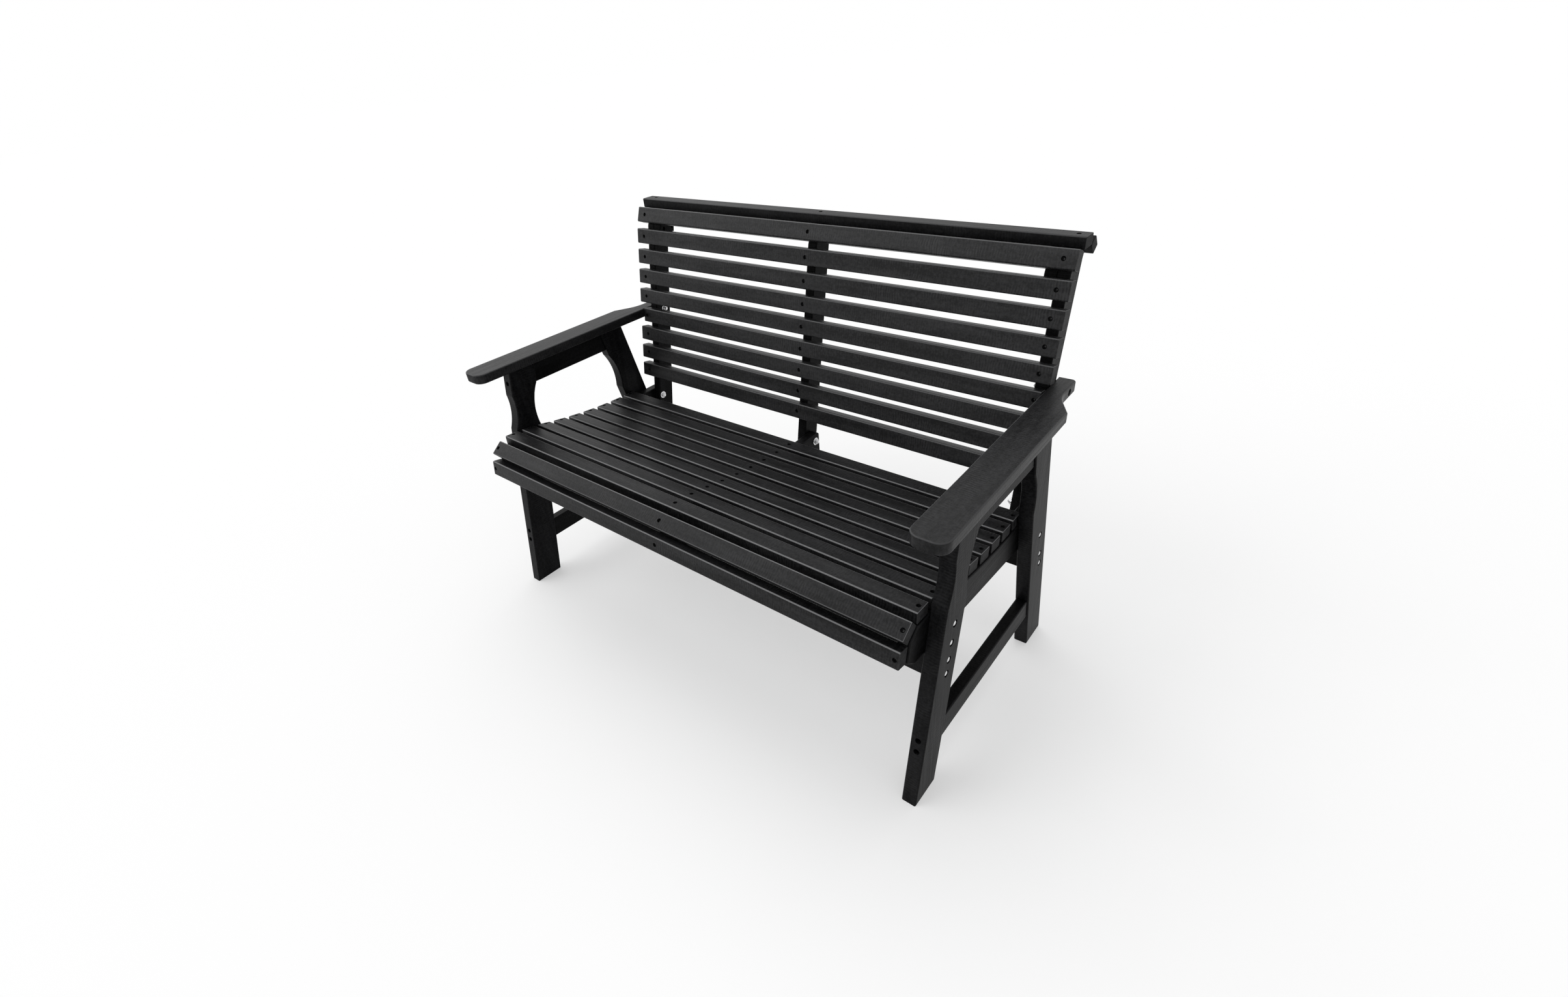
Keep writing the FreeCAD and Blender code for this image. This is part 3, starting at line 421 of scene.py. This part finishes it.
def lock_nut(high):
    """
    A nut along +X from its seat: a collar with a rounded lip, then sides whose radius is that of a hexagon,
    cut to a cone at both ends, and the bore back through.
    """
    angle = np.linspace(0, 2 * np.pi, SIDES, endpoint=False)
    hexagon = NUT_FLATS / 2 / np.cos(np.mod(angle, np.pi / 3) - np.pi / 6)
    shoulder = high * HEXAGON_SHARE
    lip = 0.0005
    mouth = 0.0003
    brow = 0.0006
    collar = np.array([[high - lip, BORE], [high, BORE + mouth], [high, NUT_COLLAR - lip],
                       [high - brow, NUT_COLLAR], [shoulder, NUT_COLLAR]])
    cone = NUT_FLATS / 2 * np.concatenate([CORNER_CUT, CORNER_CUT[::-1]])[:, None]
    body = shoulder - np.concatenate([CORNER_DEPTH, shoulder - CORNER_DEPTH[::-1]])
    radii = np.concatenate([np.repeat(collar[:, 1:], SIDES, axis=1), np.minimum(hexagon, cone),
                            np.full((1, SIDES), BORE)])
    return turned(np.concatenate([collar[:, 0], body, [0]]), radii, hollow=True)


def punched_washer(high):
    """
    A washer along +X from its seat: its upper edges are rounded by the punch,
    its lower edges are sharp.
    """
    ease = 0.0004
    bend = ease * 0.3
    profile = np.array([[high - ease, BORE], [high, BORE + ease], [high, WASHER_RADIUS - ease],
                        [high - bend, WASHER_RADIUS - bend], [high - ease, WASHER_RADIUS],
                        [0, WASHER_RADIUS], [0, BORE]])
    return turned(profile[:, 0], profile[:, 1], hollow=True)


# A nut lies outside its washer, so the way from each washer to its nut is the way out for both
nuts, washers = islands("bolt_nuts"), islands("bolt_washers")
for name, node, build, solids, others in (("lock_nuts", "bolt_nuts", lock_nut, nuts, washers),
                                          ("punched_washers", "bolt_washers", punched_washer, washers, nuts)):
    copies = []
    for points in solids:
        low, high = points.min(axis=0), points.max(axis=0)
        middle = (low + high) / 2
        twin = min((other.mean(axis=0) for other in others), key=lambda at: np.linalg.norm(at - middle))
        way = np.sign(twin[0] - middle[0]) if solids is washers else np.sign(middle[0] - twin[0])
        seat = low[0] if way > 0 else high[0]
        copies.append(seated(build(high[0] - low[0]), (seat, middle[1], middle[2]), way))
    joined(name, copies, stainless, node)

# Floor: a seamless sheet of white paper. What the camera and reflections see of it is part paper,
# which keeps the bench's shadow, and part plain white, which thins that shadow.
FLOOR_SIZE = 60
PAPER = "#f4f4f4"
PAPER_ROUGHNESS = 0.9
WHITENED = 0.4
paper = bpy.data.materials.new("white_paper")
paper.use_nodes = True
tree = paper.node_tree
sheet = tree.nodes["Principled BSDF"]
sheet.inputs["Base Color"].default_value = linear(PAPER)
sheet.inputs["Roughness"].default_value = PAPER_ROUGHNESS
sheet.inputs["Specular IOR Level"].default_value = 0


def seen(tree):
    """
    1 for a ray that shows what it meets, from the camera or by a reflection or glass,
    and 0 for one that lights.
    """
    ray = add(tree, "LightPath")
    mirrored = add(tree, "Math", {0: ray.outputs["Is Camera Ray"], 1: ray.outputs["Is Glossy Ray"]},
                   operation="MAXIMUM")
    return add(tree, "Math", {0: mirrored, 1: ray.outputs["Is Transmission Ray"]}, operation="MAXIMUM")


whitened = add(tree, "Math", {0: seen(tree), 1: WHITENED}, operation="MULTIPLY")
white = add(tree, "Emission", {"Color": linear("#ffffff"), "Strength": 1})
shown = add(tree, "MixShader", {0: whitened, 1: sheet, 2: white})
tree.links.new(shown.outputs[0], tree.nodes["Material Output"].inputs["Surface"])
half = FLOOR_SIZE / 2
mesh = bpy.data.meshes.new("floor")
mesh.from_pydata([(-half, -half, 0), (half, -half, 0), (half, half, 0), (-half, half, 0)], [], [(0, 1, 2, 3)])
mesh.materials.append(paper)
floor = bpy.data.objects.new("floor", mesh)
bpy.context.scene.collection.objects.link(floor)

# Light: a white room, a broad lamp to the left, one to the front left and one overhead.
# They are suns with wide discs, so that they light the floor evenly to its edge. Room and lamps together
# light a level surface by as much as a plain white room of strength 1.1 does.
ROOM = 0.59
world = bpy.data.worlds.new("studio")
bpy.context.scene.world = world
world.use_nodes = True
tree = world.node_tree
room = tree.nodes["Background"]
room.inputs["Color"].default_value = linear("#ffffff")
room.inputs["Strength"].default_value = ROOM
backdrop = add(tree, "Background", {"Color": linear("#ffffff"), "Strength": 1})
shown = add(tree, "MixShader", {0: seen(tree), 1: room, 2: backdrop})
tree.links.new(shown.outputs[0], tree.nodes["World Output"].inputs["Surface"])


def broad_lamp(name, towards, strength, width):
    """A sun whose disc is as wide as the angle given, in degrees, and lies in the direction given."""
    lamp = bpy.data.lights.new(name, "SUN")
    lamp.energy = strength
    lamp.angle = math.radians(width)
    holder = bpy.data.objects.new(name, lamp)
    holder.rotation_euler = Vector(towards).to_track_quat("Z", "Y").to_euler()
    bpy.context.scene.collection.objects.link(holder)


broad_lamp("left", (-0.82, 0.05, 0.56), 0.5, 50)
broad_lamp("overhead", (-0.30, 0.35, 0.89), 1.0, 60)
broad_lamp("front_left", (-0.60, -0.55, 0.58), 0.8, 40)

# Camera: a short lens close to the front right corner, a little above the head, tipped to the left.
# Lengths are in metres and angles in degrees. The lens is given in pixels of the full picture.
IMAGE_WIDTH, IMAGE_HEIGHT = 2408, 1531
FOCAL_PIXELS = 1076.9
CENTRE_PIXEL = (1206.1, 794.5)
CAMERA_PLACE = (1.0250, -1.0779, 1.2862)
HEADING, DIP, ROLL = 41.65, 35.03, -5.68
SENSOR_WIDTH = 36
camera = bpy.data.cameras.new("camera")
camera.sensor_width = SENSOR_WIDTH
camera.lens = SENSOR_WIDTH * FOCAL_PIXELS / IMAGE_WIDTH
camera.shift_x = (IMAGE_WIDTH / 2 - CENTRE_PIXEL[0]) / IMAGE_WIDTH
camera.shift_y = (CENTRE_PIXEL[1] - IMAGE_HEIGHT / 2) / IMAGE_WIDTH
holder = bpy.data.objects.new("camera", camera)
bpy.context.scene.collection.objects.link(holder)
holder.location = CAMERA_PLACE
holder.rotation_euler = (
    Matrix.Rotation(math.radians(HEADING), 3, "Z")
    @ Matrix.Rotation(math.radians(90 - DIP), 3, "X")
    @ Matrix.Rotation(math.radians(ROLL), 3, "Z")
).to_euler()
bpy.context.scene.camera = holder
bpy.context.scene.view_settings.view_transform = "Standard"
